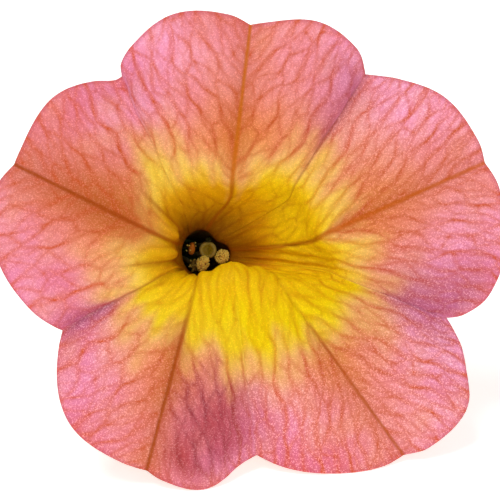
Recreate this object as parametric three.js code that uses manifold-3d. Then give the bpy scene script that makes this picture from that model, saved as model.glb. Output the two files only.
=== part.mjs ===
// A single picked calibrachoa bloom, lying on the rims of its two lower lobes and on the cut end
// of its pedicel. Millimetres, +Z up, origin at the middle of the footprint on the surface.
//
// Everything is shaped in the bloom's own face frame and then leaned back as one:
// x runs to the bloom's right as it is looked at, y up its face, and z out of its throat.

import * as THREE from "three";
import { mergeVertices } from "three/addons/utils/BufferGeometryUtils.js";
import Module from "manifold-3d";

const wasm = await Module();
wasm.setup();

// ---- Driving dimensions, in millimetres and degrees ----

const petalThickness = 0.6;
const faceElevation = 28; // how far the throat points above the horizon as the bloom lies
const faceRoll = -4.8; // turn about the throat that levels the two lowest lobes
const flatSpotDepth = 0.15; // how much of each rim is pressed flat where it lies

const tubeRings = [
  { centre: [-1.5, 0.0, -21.5], radius: 1.0 },
  { centre: [-1.0, -0.1, -14.0], radius: 1.25 },
  { centre: [0.0, 0.0, -6.4], radius: 1.7 },
  { centre: [0.05, 0.0, -5.4], radius: 1.78 },
];
const crestRun = 1.4; // from the shoulder of the throat out to the crest of the limb

// Ten lines run from the throat to the rim, counter-clockwise from the cleft below the right
// lobe: clefts and midribs by turns. turn and reach place the line's end on the rim, height is
// how far the rim stands out there, shoulder is where the throat's wall rounds over into the
// limb, crest is the height of the limb just outside it, and throatTurn is where the line
// leaves the tube.
const lines = [
  { turn: 345.0, reach: 17.1, height: -2.4, shoulder: [8.0, -1.2, -2.3], crest: -1.6, throatTurn: 347 },
  { turn: 377.9, reach: 20.1, height: -1.9, shoulder: [6.9, 0.7, -2.4], crest: -1.2, throatTurn: 367 },
  { turn: 408.4, reach: 16.4, height: -2.5, shoulder: [5.4, 3.5, -2.4], crest: -1.2, throatTurn: 401 },
  { turn: 438.8, reach: 15.9, height: -1.7, shoulder: [1.7, 3.7, -2.4], crest: -1.0, throatTurn: 450 },
  { turn: 475.6, reach: 13.4, height: -2.3, shoulder: [-1.5, 2.9, -2.1], crest: -0.9, throatTurn: 491 },
  { turn: 515.1, reach: 14.4, height: -1.4, shoulder: [-2.4, 0.8, -1.8], crest: -0.5, throatTurn: 520 },
  { turn: 568.3, reach: 11.1, height: -2.1, shoulder: [-2.2, -1.2, -2.3], crest: -1.2, throatTurn: 581 },
  { turn: 614.9, reach: 15.4, height: -1.0, shoulder: [-0.5, -1.7, -1.5], crest: -0.2, throatTurn: 614 },
  { turn: 644.3, reach: 14.3, height: -1.9, shoulder: [1.9, -0.9, -1.1], crest: 0.3, throatTurn: 649 },
  { turn: 674.4, reach: 19.4, height: -1.7, shoulder: [4.6, -1.4, -1.3], crest: 0.0, throatTurn: 683 },
];

// The rim between two lines, as its reach at four places counted from the cleft, how far the
// half lobe swells towards the viewer, and how far its margin is lifted beside the cleft.
const rimPlaces = [0, 0.05, 0.2, 0.5, 0.85, 1];
const halves = [
  { reach: [18.1, 19.6, 20.6, 20.6], swell: 1.0, lift: 0.5 },
  { reach: [16.7, 17.8, 19.5, 20.2], swell: 1.0, lift: -0.2 },
  { reach: [16.6, 17.4, 17.6, 16.4], swell: 0.9, lift: 0.5 },
  { reach: [14.1, 15.1, 16.5, 16.4], swell: 0.9, lift: 0.4 },
  { reach: [13.4, 14.1, 14.9, 14.5], swell: 0.9, lift: -0.3 },
  { reach: [11.4, 12.5, 14.2, 15.0], swell: 0.8, lift: 0.4 },
  { reach: [11.5, 12.9, 14.9, 15.4], swell: 0.9, lift: -0.3 },
  { reach: [14.4, 14.8, 16.1, 15.8], swell: 1.0, lift: 0.0 },
  { reach: [14.7, 15.7, 17.3, 19.0], swell: 1.0, lift: 0.0 },
  { reach: [17.6, 18.9, 20.8, 20.3], swell: 1.0, lift: -0.2 },
];
const liftedMargin = 0.12; // where the lifted margin stands highest, as a share of the half lobe
const swellShown = { atCrest: 1.6, atRim: 0.65 }; // how much of a half's swell shows along it
const fallHalfWay = 0.25; // share of the limb's fall, crest to rim, that is done half-way out

// Distance along a meridian of the corolla, from the foot of its tube to its rim.
const stations = [0, 7.5, 15.2, 16.2, 20.6, 22.8, 28.8, 34.8];
const throatStation = stations[2];
const crestStation = stations[5];
const rimStation = stations[7];
const columnsPerHalf = 10;
const tubeSteps = 5;
const throatSteps = 7;
const limbSteps = 8;

// The calyx's cup as radius and height, from its foot up the outside and down the bore; and
// along each sepal the radius and height of its middle and its share of the full width.
const calyxAxis = [-1.5, 0];
const cupSides = 24;
const cupProfile = [
  [0.7, -23.3],
  [1.5, -23.0],
  [2.2, -22.2],
  [2.35, -21.1],
  [2.2, -20.6],
  [1.85, -20.6],
  [1.85, -21.8],
];
const sepal = { count: 5, firstTurn: -13, width: 2.1, thickness: 0.6, wrap: 0.25, steps: 12 };
const sepalPath = [
  [2.1, -21.6, 0.55],
  [2.25, -19.6, 0.75],
  [2.65, -16.8, 1],
  [3.1, -14.4, 0.9],
  [3.7, -12.4, 0.3],
];
// Corners of a sepal's section, as shares of half its width and half its thickness.
const sepalSection = [[1, 0], [0.6, -0.8], [-0.6, -0.8], [-1, 0], [-0.6, 0.8], [0.6, 0.8]];

const pedicel = {
  radius: 0.55,
  headRadius: 1.35,
  flare: 9, // the higher, the nearer to its head the stalk widens
  start: [-1.5, 0, -23.6],
  bend: [-1.0, 1.0, -28.0],
  sides: 12,
  steps: 18,
};
const pedicelEnd = { x: 1.2, z: -32.6 };

const filament = { radius: 0.18, sides: 6, steps: 16 };
const filamentFoot = { turn: -13, radius: 0.8, height: -18.5 };
const filamentWaist = { radius: 0.78, height: -13.0 };
const anther = { radius: 0.34, halfLength: 0.46, neckDrop: 0.74 };
const antherPlaces = [
  [1.14, -0.24, -5.6],
  [0.15, 0.75, -10.2],
  [-0.98, 0.3, -6.4],
  [-0.78, -0.9, -7.2],
  [-0.2, -0.72, -5.5],
];

// Radius and height up the pistil: ovary, style and stigma. Between the two heights of its bend
// it leaves the tube's axis and leans over to the stigma's own place.
const pistilSides = 14;
const pistilProfile = [
  [0.35, -21.5],
  [0.76, -21.0],
  [0.76, -20.4],
  [0.2, -19.3],
  [0.2, -16.2],
  [0.2, -13.1],
  [0.2, -10.0],
  [0.2, -8.2],
  [0.2, -6.4],
  [0.39, -6.1],
  [0.56, -5.85],
  [0.45, -5.6],
  [0.2, -5.5],
];
const styleBend = { from: -10.0, to: -6.1 };
const stigmaCentre = [0.14, 0.2];

// ---- Small tools ----

const degrees = Math.PI / 180;
const weldDistance = 1e-5;

function mix(from, to, share) {
  return from + (to - from) * share;
}

// The value at place of a smooth curve through values at knots: cubic pieces whose slope at an
// inner knot is that of the chord between its neighbours.
function curveThrough(knots, values, place) {
  const last = knots.length - 1;
  let piece = 0;
  while (piece < last - 1 && place > knots[piece + 1]) piece += 1;
  const slopeAt = (index) => {
    const before = Math.max(index - 1, 0);
    const after = Math.min(index + 1, last);
    return (values[after] - values[before]) / (knots[after] - knots[before]);
  };
  const span = knots[piece + 1] - knots[piece];
  const share = (place - knots[piece]) / span;
  const square = share * share;
  const cube = square * share;
  const fromStart = 2 * cube - 3 * square + 1;
  const startSlope = (cube - 2 * square + share) * span * slopeAt(piece);
  const endSlope = (cube - square) * span * slopeAt(piece + 1);
  return fromStart * values[piece] + (1 - fromStart) * values[piece + 1] + startSlope + endSlope;
}

// The same kind of curve through ten values that stand round a ring, one at each line.
function roundRing(values, place) {
  const here = Math.floor(place);
  const knots = [-1, 0, 1, 2];
  const near = knots.map((step) => values[(here + step + values.length) % values.length]);
  return curveThrough(knots, near, place - here);
}

// Joins a row of closed loops into one solid: each loop to the next, and the last one back to
// the first where the row is a ring, or else both ends filled by a fan round their middle.
// Past turnedFrom the quads are split along their other diagonal.
function skin(loops, { ring = false, turnedFrom = Infinity } = {}) {
  const around = loops[0].length;
  const points = loops.flat();
  const index = [];
  const joins = ring ? loops.length : loops.length - 1;
  for (let row = 0; row < joins; row += 1) {
    const next = (row + 1) % loops.length;
    for (let column = 0; column < around; column += 1) {
      const beside = (column + 1) % around;
      const a = row * around + column;
      const b = row * around + beside;
      const c = next * around + beside;
      const d = next * around + column;
      if (row < turnedFrom) {
        index.push(a, b, c, a, c, d);
      } else {
        index.push(a, b, d, b, c, d);
      }
    }
  }
  if (!ring) {
    const middles = [loops[0], loops[loops.length - 1]].map((loop) =>
      loop.reduce((sum, point) => sum.add(point), new THREE.Vector3()).divideScalar(around));
    const lastRow = (loops.length - 1) * around;
    for (let column = 0; column < around; column += 1) {
      const beside = (column + 1) % around;
      index.push(beside, column, points.length);
      index.push(lastRow + column, lastRow + beside, points.length + 1);
    }
    points.push(...middles);
  }
  const geometry = new THREE.BufferGeometry().setFromPoints(points);
  geometry.setIndex(index);
  return geometry;
}

function toSolid(geometry) {
  const bare = geometry.clone();
  bare.deleteAttribute("normal");
  bare.deleteAttribute("uv");
  const merged = mergeVertices(bare, weldDistance);
  return new wasm.Manifold(new wasm.Mesh({
    numProp: 3,
    vertProperties: new Float32Array(merged.attributes.position.array),
    triVerts: new Uint32Array(merged.index.array),
  }));
}

function toGeometry(solid) {
  const { vertProperties, triVerts } = solid.getMesh();
  const geometry = new THREE.BufferGeometry();
  geometry.setAttribute("position", new THREE.BufferAttribute(vertProperties, 3));
  geometry.setIndex(new THREE.BufferAttribute(triVerts, 1));
  return geometry;
}

function fuse(geometries) {
  const solids = geometries.map(toSolid);
  return toGeometry(solids.reduce((whole, solid) => whole.add(solid)));
}

// A level loop of points round a centre, counter-clockwise seen from above.
function circle(centre, radius, sides) {
  return Array.from({ length: sides }, (_, side) => {
    const turn = (side / sides) * 2 * Math.PI;
    return new THREE.Vector3(
      centre[0] + radius * Math.cos(turn),
      centre[1] + radius * Math.sin(turn),
      centre[2],
    );
  });
}

// A round stalk along a curve that climbs in z, radiusAt giving its radius at each share of it.
function stalk(curve, radiusAt, sides, steps) {
  const loops = [];
  for (let step = 0; step <= steps; step += 1) {
    const share = step / steps;
    loops.push(circle(curve.getPoint(share).toArray(), radiusAt(share), sides));
  }
  return skin(loops);
}

function curveOf(points) {
  return new THREE.CatmullRomCurve3(points.map((point) => new THREE.Vector3(...point)));
}

function named(name, geometry, color, roughness) {
  const mesh = new THREE.Mesh(geometry, new THREE.MeshStandardMaterial({ color, roughness, metalness: 0 }));
  mesh.name = name;
  return mesh;
}

// ---- How the bloom lies ----

const lean = (90 - faceElevation) * degrees;
const roll = faceRoll * degrees;
const faceToRest = new THREE.Matrix4().makeRotationX(lean)
  .multiply(new THREE.Matrix4().makeRotationZ(roll));

function lowestHeight(geometry) {
  const rested = geometry.clone().applyMatrix4(faceToRest);
  rested.computeBoundingBox();
  return rested.boundingBox.min.z;
}

// Cuts off what lies below the surface, given at its height in the leaned frame.
function pressFlat(geometry, surface) {
  const slabSize = 100;
  const slab = new THREE.BoxGeometry(slabSize, slabSize, slabSize);
  slab.translate(0, 0, surface - slabSize / 2);
  slab.applyMatrix4(faceToRest.clone().invert());
  return toGeometry(toSolid(geometry).subtract(toSolid(slab)));
}

// ---- Corolla: five lobes, throat and tube, grown as one ----

// The eight points that carry the meridian at a place round the ring of ten lines.
function meridianPoints(place) {
  const half = Math.floor(place) % lines.length;
  const share = place - Math.floor(place);
  const next = (half + 1) % lines.length;
  const fromCleft = half % 2 === 0 ? share : 1 - share;
  const [cleft, midrib] = half % 2 === 0 ? [lines[half], lines[next]] : [lines[next], lines[half]];

  const fullTurn = (key) => lines[next][key] + (next === 0 ? 360 : 0);
  const rimTurn = mix(lines[half].turn, fullTurn("turn"), share) * degrees;
  const reach = curveThrough(rimPlaces, [cleft.reach, ...halves[half].reach, midrib.reach], fromCleft);
  const rimHeight = mix(lines[half].height, lines[next].height, share);
  const rim = new THREE.Vector3(reach * Math.cos(rimTurn), reach * Math.sin(rimTurn), rimHeight);

  const throatTurn = mix(lines[half].throatTurn, fullTurn("throatTurn"), share) * degrees;
  const tube = tubeRings.map(({ centre, radius }) => new THREE.Vector3(
    centre[0] + radius * Math.cos(throatTurn),
    centre[1] + radius * Math.sin(throatTurn),
    centre[2],
  ));

  const shoulder = new THREE.Vector3(
    roundRing(lines.map((line) => line.shoulder[0]), place),
    roundRing(lines.map((line) => line.shoulder[1]), place),
    roundRing(lines.map((line) => line.shoulder[2]), place),
  );
  const outward = rim.clone().sub(shoulder).setZ(0).normalize();
  const crest = shoulder.clone().addScaledVector(outward, crestRun);
  crest.z = roundRing(lines.map((line) => line.crest), place);

  const middle = crest.clone().lerp(rim, 0.5);
  middle.z = mix(crest.z, rim.z, fallHalfWay);
  return [...tube, shoulder, crest, middle, rim];
}

// The upper face of the petals. Each half lobe swells between its midrib and its cleft, and its
// margin is lifted or tucked beside the cleft.
function petalFace(place, along) {
  const turned = (place + lines.length) % lines.length;
  const points = meridianPoints(turned);
  const face = new THREE.Vector3(
    curveThrough(stations, points.map((point) => point.x), along),
    curveThrough(stations, points.map((point) => point.y), along),
    curveThrough(stations, points.map((point) => point.z), along),
  );
  const half = halves[Math.floor(turned)];
  const share = turned - Math.floor(turned);
  const fromCleft = Math.floor(turned) % 2 === 0 ? share : 1 - share;
  const out = Math.max((along - crestStation) / (rimStation - crestStation), 0);
  const marginPlace = fromCleft / liftedMargin;
  face.z += half.swell * Math.sin(Math.PI * share) * out * mix(swellShown.atCrest, swellShown.atRim, out);
  face.z += half.lift * marginPlace * Math.exp(1 - marginPlace) * out;
  return face;
}

// The under face lies one petal's thickness behind the upper one, square to it.
function petalBack(place, along) {
  const besides = 0.04;
  const ahead = 0.08;
  const round = petalFace(place + besides, along).sub(petalFace(place - besides, along));
  const start = Math.max(along - ahead, 0);
  const end = Math.min(along + ahead, rimStation);
  const outward = petalFace(place, end).sub(petalFace(place, start));
  const normal = round.cross(outward).normalize();
  return petalFace(place, along).addScaledVector(normal, petalThickness);
}

// Columns stand closer together beside the midribs and clefts.
function columnPlace(column) {
  const half = Math.floor(column / columnsPerHalf);
  const share = (column % columnsPerHalf) / columnsPerHalf;
  const eased = (1 - Math.cos(Math.PI * share)) / 2;
  return half + mix(share, eased, 0.5);
}

function corolla() {
  const along = [];
  const addSteps = (from, to, steps) => {
    for (let step = 0; step < steps; step += 1) along.push(mix(from, to, step / steps));
  };
  addSteps(0, throatStation, tubeSteps);
  addSteps(throatStation, crestStation, throatSteps);
  addSteps(crestStation, rimStation, limbSteps);
  along.push(rimStation);

  const columns = Array.from({ length: lines.length * columnsPerHalf }, (_, column) => columnPlace(column));
  const upper = along.map((distance) => columns.map((place) => petalFace(place, distance))).reverse();
  const under = along.map((distance) => columns.map((place) => petalBack(place, distance)));
  return skin([...upper, ...under], { ring: true, turnedFrom: along.length });
}

// ---- Calyx: a short cup with five narrow sepals that lie along the tube ----

function sepalBlade(turn) {
  const away = new THREE.Vector3(Math.cos(turn), Math.sin(turn), 0);
  const across = new THREE.Vector3(-Math.sin(turn), Math.cos(turn), 0);
  const knots = sepalPath.map((_, index) => index / (sepalPath.length - 1));
  const loops = [];
  for (let step = 0; step <= sepal.steps; step += 1) {
    const [radius, height, widthShare] = [0, 1, 2].map((part) =>
      curveThrough(knots, sepalPath.map((point) => point[part]), step / sepal.steps));
    const halfWidth = (sepal.width / 2) * widthShare;
    loops.push(sepalSection.map(([side, depth]) => {
      const outward = radius + (depth * sepal.thickness) / 2 - sepal.wrap * side * side * halfWidth;
      return new THREE.Vector3(...calyxAxis, height)
        .addScaledVector(away, outward)
        .addScaledVector(across, side * halfWidth);
    }));
  }
  return skin(loops);
}

function calyxCup() {
  return skin(cupProfile.map(([radius, height]) => circle([...calyxAxis, height], radius, cupSides)));
}

function calyxBody() {
  const blades = Array.from({ length: sepal.count }, (_, index) =>
    sepalBlade((sepal.firstTurn + (index * 360) / sepal.count) * degrees));
  return fuse([calyxCup(), ...blades]);
}

// ---- Pedicel: from the calyx down to its cut end on the surface ----

function pedicelBody(surface) {
  // The end's y is what sets the end down on the surface, pressed into it by the flat spot.
  const elevation = faceElevation * degrees;
  const level = surface + pedicel.radius * Math.cos(elevation) - flatSpotDepth;
  const known = pedicelEnd.x * Math.sin(roll) * Math.cos(elevation) + pedicelEnd.z * Math.sin(elevation);
  const endY = (level - known) / (Math.cos(roll) * Math.cos(elevation));
  const curve = curveOf([[pedicelEnd.x, endY, pedicelEnd.z], pedicel.bend, pedicel.start]);
  const radiusAt = (share) => mix(pedicel.radius, pedicel.headRadius, Math.pow(share, pedicel.flare));
  return pressFlat(stalk(curve, radiusAt, pedicel.sides, pedicel.steps), surface);
}

// ---- Stamens: five filaments up the tube, each with its anther ----

function tubeAxis(height) {
  const heights = tubeRings.map((ring) => ring.centre[2]);
  return [0, 1].map((axis) => curveThrough(heights, tubeRings.map((ring) => ring.centre[axis]), height));
}

function besideAxis({ radius, height }, turn) {
  const [x, y] = tubeAxis(height);
  return [x + radius * Math.cos(turn), y + radius * Math.sin(turn), height];
}

function stamen(index) {
  const turn = (filamentFoot.turn + (index * 360) / antherPlaces.length) * degrees;
  const tip = antherPlaces[index];
  const neck = [tip[0], tip[1], tip[2] - anther.neckDrop];
  const curve = curveOf([besideAxis(filamentFoot, turn), besideAxis(filamentWaist, turn), neck, tip]);
  const pollenSac = new THREE.SphereGeometry(1, 12, 8);
  pollenSac.scale(anther.radius, anther.radius, anther.halfLength);
  pollenSac.translate(...tip);
  return fuse([stalk(curve, () => filament.radius, filament.sides, filament.steps), pollenSac]);
}

// ---- Pistil: ovary, style and stigma in one ----

function pistilBody() {
  return skin(pistilProfile.map(([radius, height]) => {
    const share = (height - styleBend.from) / (styleBend.to - styleBend.from);
    const leant = Math.min(Math.max(share, 0), 1);
    const middle = tubeAxis(height).map((value, axis) => mix(value, stigmaCentre[axis], leant));
    return circle([...middle, height], radius, pistilSides);
  }));
}

// ---- The bloom ----

const corollaBody = corolla();
const surfaceHeight = lowestHeight(corollaBody) + flatSpotDepth;

const bloom = new THREE.Group();
bloom.add(named("corolla", pressFlat(corollaBody, surfaceHeight), 0xe88a92, 0.55));
bloom.add(named("calyx", calyxBody(), 0x7f9a4a, 0.6));
bloom.add(named("pedicel", pedicelBody(surfaceHeight), 0x8aa352, 0.6));
for (let index = 0; index < antherPlaces.length; index += 1) {
  bloom.add(named(`stamen_${index + 1}`, stamen(index), 0xd9c27a, 0.8));
}
bloom.add(named("pistil", pistilBody(), 0x9a9a3c, 0.5));
bloom.rotation.z = roll;

const resting = new THREE.Group();
resting.add(bloom);
resting.rotation.x = lean;
resting.updateMatrixWorld(true);

const footprint = new THREE.Box3().setFromObject(resting, true);
resting.position.set(
  -(footprint.min.x + footprint.max.x) / 2,
  -(footprint.min.y + footprint.max.y) / 2,
  -footprint.min.z,
);
resting.updateMatrixWorld(true);

export default resting;
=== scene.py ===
"""A picked calibrachoa bloom that lies on its two lower lobes and the cut end of its pedicel."""

import bpy
import numpy as np
from mathutils import Matrix, Vector


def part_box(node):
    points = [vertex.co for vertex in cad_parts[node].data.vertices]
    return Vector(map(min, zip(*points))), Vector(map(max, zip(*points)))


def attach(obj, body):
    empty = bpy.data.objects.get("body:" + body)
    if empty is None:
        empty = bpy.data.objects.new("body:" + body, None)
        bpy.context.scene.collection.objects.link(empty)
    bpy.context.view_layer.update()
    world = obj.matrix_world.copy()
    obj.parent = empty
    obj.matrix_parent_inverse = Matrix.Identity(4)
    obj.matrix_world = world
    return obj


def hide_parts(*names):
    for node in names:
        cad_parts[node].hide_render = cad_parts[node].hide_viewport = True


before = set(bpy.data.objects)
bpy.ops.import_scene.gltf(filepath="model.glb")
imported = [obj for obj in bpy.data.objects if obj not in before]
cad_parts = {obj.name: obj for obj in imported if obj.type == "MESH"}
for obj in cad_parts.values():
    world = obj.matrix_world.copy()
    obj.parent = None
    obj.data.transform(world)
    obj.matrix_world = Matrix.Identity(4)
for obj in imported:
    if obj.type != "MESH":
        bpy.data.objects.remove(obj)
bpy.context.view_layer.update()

# ---- How the bloom lies ----
# A fresh bloom is light and springy. Laid down, it leans back on the rims of its two lower
# lobes and on the end of its stalk. It is shaped here in its own face frame, in millimetres:
# x to its right as it is looked at, y up its face, z out of its throat.
FACE_ELEVATION = np.radians(28)
FACE_ROLL = np.radians(-4.8)
FACE_TO_REST = np.array(
    Matrix.Rotation(np.pi / 2 - FACE_ELEVATION, 3, "X") @ Matrix.Rotation(FACE_ROLL, 3, "Z"))
MILLIMETRE = 0.001


def curve_weights(knots, places):
    """How much each knot's value counts at each place. The curve is made of cubic pieces, and
    its slope at an inner knot is that of the chord between the knot's neighbours."""
    knots = np.asarray(knots, float)
    places = np.asarray(places, float)
    last = len(knots) - 1
    slopes = np.zeros((last + 1, last + 1))
    for knot in range(last + 1):
        before, after = max(knot - 1, 0), min(knot + 1, last)
        slopes[knot, after] += 1 / (knots[after] - knots[before])
        slopes[knot, before] -= 1 / (knots[after] - knots[before])
    piece = np.clip(np.searchsorted(knots, places) - 1, 0, last - 1)
    span = knots[piece + 1] - knots[piece]
    share = (places - knots[piece]) / span
    from_start = 2 * share**3 - 3 * share**2 + 1
    weights = np.zeros((len(places), last + 1))
    rows = np.arange(len(places))
    weights[rows, piece] += from_start
    weights[rows, piece + 1] += 1 - from_start
    weights += ((share**3 - 2 * share**2 + share) * span)[:, None] * slopes[piece]
    weights += ((share**3 - share**2) * span)[:, None] * slopes[piece + 1]
    return weights


def round_ring(values, places):
    """The same kind of curve through values that stand evenly round a closed ring."""
    values = np.asarray(values, float)
    count = len(values)
    padded = np.concatenate([values[-2:], values, values[:3]])
    return curve_weights(np.arange(-2, count + 3), places % count) @ padded


def smooth_step(low, high, value):
    """Nought below low, one above high, and an easy curve between them."""
    share = np.clip((value - low) / (high - low), 0, 1)
    return share * share * (3 - 2 * share)


def bell(distance, width):
    """A bell curve, e to the minus (distance over width) squared: one in the middle, and 0.37 at
    the given width."""
    return np.exp(-(distance / width) ** 2)


# ---- Corolla ----
# Five petals that grew together into one trumpet of soft, juicy tissue, thinnest at the rim.
# Each lobe is two swollen halves that meet in a groove over the midrib, and its margins fold
# over or under its neighbour's at the clefts.
TUBE_RINGS = [((-1.5, 0.0, -21.5), 1.0), ((-1.0, -0.1, -14.0), 1.25),
              ((0.0, 0.0, -6.4), 1.7), ((0.05, 0.0, -5.4), 1.78)]
CREST_RUN = 1.4
STATIONS = [0, 7.5, 15.2, 16.2, 20.6, 22.8, 28.8, 34.8]
THROAT_STATION, CREST_STATION, RIM_STATION = STATIONS[2], STATIONS[5], STATIONS[7]

# Ten lines from the throat to the rim, clefts and midribs by turns, counter-clockwise from the
# cleft below the right lobe: turn, reach and height of the rim, shoulder of the throat,
# height of the crest outside it, and turn in the throat.
LINES = [
    (345.0, 17.1, -2.4, (8.0, -1.2, -2.3), -1.6, 347),
    (377.9, 20.1, -1.9, (6.9, 0.7, -2.4), -1.2, 367),
    (408.4, 16.4, -2.5, (5.4, 3.5, -2.4), -1.2, 401),
    (438.8, 15.9, -1.7, (1.7, 3.7, -2.4), -1.0, 450),
    (475.6, 13.4, -2.3, (-1.5, 2.9, -2.1), -0.9, 491),
    (515.1, 14.4, -1.4, (-2.4, 0.8, -1.8), -0.5, 520),
    (568.3, 11.1, -2.1, (-2.2, -1.2, -2.3), -1.2, 581),
    (614.9, 15.4, -1.0, (-0.5, -1.7, -1.5), -0.2, 614),
    (644.3, 14.3, -1.9, (1.9, -0.9, -1.1), 0.3, 649),
    (674.4, 19.4, -1.7, (4.6, -1.4, -1.3), 0.0, 683),
]
# The rim of each half lobe at four places counted from its cleft, how far the half swells,
# and how far its margin is lifted beside the cleft and laps over the neighbour.
RIM_PLACES = [0, 0.05, 0.2, 0.5, 0.85, 1]
HALVES = [
    ((18.1, 19.6, 20.6, 20.6), 1.0, 0.5, 0.1),
    ((16.7, 17.8, 19.5, 20.2), 1.0, -0.2, 0.0),
    ((16.6, 17.4, 17.6, 16.4), 0.9, 0.5, 0.4),
    ((14.1, 15.1, 16.5, 16.4), 0.9, 0.4, 0.2),
    ((13.4, 14.1, 14.9, 14.5), 0.9, -0.3, 0.0),
    ((11.4, 12.5, 14.2, 15.0), 0.8, 0.4, 0.2),
    ((11.5, 12.9, 14.9, 15.4), 0.9, -0.3, 0.0),
    ((14.4, 14.8, 16.1, 15.8), 1.0, 0.0, 0.0),
    ((14.7, 15.7, 17.3, 19.0), 1.0, 0.0, 0.0),
    ((17.6, 18.9, 20.8, 20.3), 1.0, -0.2, 0.0),
]
LIFTED_MARGIN = 0.12


def from_cleft(places):
    """Where a place lies in its half lobe: nought at the cleft and one at the midrib."""
    share = places % 1
    return np.where(np.floor(places) % 2 == 0, share, 1 - share)


def by_half(values, places):
    """The value that the half lobe at each place has."""
    return np.asarray(values, float)[np.floor(places).astype(int) % 10]


def turn_at(column, places):
    """The turn of a place, in radians, in a straight run between its two lines."""
    turns = [line[column] for line in LINES] + [LINES[0][column] + 360]
    return np.radians(np.interp(places % 10, np.arange(11), turns))


def meridian_points(places):
    """The eight points that carry the meridian at each place: four on the tube, the shoulder of
    the throat, the crest a set run outside it, the middle of the limb, and the rim."""
    reach = np.zeros(len(places))
    for half, (reaches, _, _, _) in enumerate(HALVES):
        here = np.floor(places).astype(int) % 10 == half
        lines = (half, (half + 1) % 10)
        cleft, midrib = lines if half % 2 == 0 else lines[::-1]
        values = np.array([LINES[cleft][1], *reaches, LINES[midrib][1]])
        reach[here] = curve_weights(RIM_PLACES, from_cleft(places[here])) @ values
    rim_turn, throat_turn = turn_at(0, places), turn_at(5, places)
    heights = [line[2] for line in LINES] + [LINES[0][2]]
    rim_height = np.interp(places % 10, np.arange(11), heights)
    rim = np.stack([reach * np.cos(rim_turn), reach * np.sin(rim_turn), rim_height], axis=-1)
    tube = [np.stack([centre[0] + radius * np.cos(throat_turn),
                      centre[1] + radius * np.sin(throat_turn),
                      np.full(len(places), centre[2])], axis=-1) for centre, radius in TUBE_RINGS]
    shoulder = round_ring([line[3] for line in LINES], places)
    outward = (rim - shoulder) * (1, 1, 0)
    crest = shoulder + CREST_RUN * outward / np.linalg.norm(outward, axis=-1, keepdims=True)
    crest[:, 2] = round_ring([line[4] for line in LINES], places)
    middle = (crest + rim) / 2
    middle[:, 2] = 0.75 * crest[:, 2] + 0.25 * rim[:, 2]
    return np.array([*tube, shoulder, crest, middle, rim])


def petal_face(places, along, lapping=1.0):
    """The upper face of the petals, rows out along the meridians and columns round the bloom.
    To the meridian curve each half lobe adds a swell, which is a half sine between cleft and
    midrib, and beside its cleft a lift and a lap over the neighbour that rise and die away."""
    places = places % 10
    face = np.einsum("rk,kcx->rcx", curve_weights(STATIONS, along), meridian_points(places))
    out = np.clip((along - CREST_STATION) / (RIM_STATION - CREST_STATION), 0, 1)[:, None]
    margin = from_cleft(places) / LIFTED_MARGIN
    margin = margin * np.exp(1 - margin)
    swell = by_half([half[1] for half in HALVES], places) * np.sin(np.pi * (places % 1))
    face[..., 2] += swell * out * (1.6 - 0.95 * out)
    face[..., 2] += by_half([half[2] for half in HALVES], places) * margin * out
    towards = np.where(np.floor(places) % 2 == 0, -1, 1)
    lap = lapping * by_half([half[3] for half in HALVES], places) * margin * towards * np.sqrt(out)
    turn = turn_at(0, places)
    face[..., 0] -= lap * np.sin(turn)
    face[..., 1] += lap * np.cos(turn)
    return face


def petal_normal(places, along, lapping=1.0):
    """The direction square to the upper face, out of it, from short chords along and across."""
    beside, ahead = 0.02, 0.08
    start, end = np.maximum(along - ahead, 0), np.minimum(along + ahead, RIM_STATION)
    across = (petal_face(places + beside, along, lapping)
              - petal_face(places - beside, along, lapping))
    outward = petal_face(places, end, lapping) - petal_face(places, start, lapping)
    normal = np.cross(outward, across)
    return normal / np.linalg.norm(normal, axis=-1, keepdims=True)


def column_places(per_half):
    """Columns round the bloom, closer together beside the midribs and clefts."""
    share = np.arange(per_half) / per_half
    eased = 0.5 * share + 0.5 * (1 - np.cos(np.pi * share)) / 2
    return (np.arange(10)[:, None] + eased).ravel()


SOLID_WALL = 0.6
SOLID_COLUMNS, PETAL_COLUMNS = 10, 36


def solid_box():
    """The box, in millimetres, of the plain solid, which has fewer columns to a half lobe than
    the piece made here, a thicker wall and no laps."""
    places = column_places(SOLID_COLUMNS)
    along = np.concatenate([np.linspace(0, THROAT_STATION, 5, endpoint=False),
                            np.linspace(THROAT_STATION, CREST_STATION, 7, endpoint=False),
                            np.linspace(CREST_STATION, RIM_STATION, 9)])
    face = petal_face(places, along, lapping=0)
    normal = petal_normal(places, along, lapping=0)
    points = np.concatenate([face, face - SOLID_WALL * normal]).reshape(-1, 3) @ FACE_TO_REST.T
    return points.min(axis=0), points.max(axis=0)


# The bloom is moved so that its corolla lies where the solid one does.
solid_low, solid_high = solid_box()
cad_low, cad_high = np.array(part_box("corolla")) / MILLIMETRE
SHIFT = np.array([(cad_low[0] + cad_high[0] - solid_low[0] - solid_high[0]) / 2,
                  cad_high[1] - solid_high[1], cad_high[2] - solid_high[2]])


def to_rest(points):
    """Points of the face frame, in millimetres, where the bloom lies, in metres."""
    return (np.asarray(points, float) @ FACE_TO_REST.T + SHIFT) * MILLIMETRE


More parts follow.
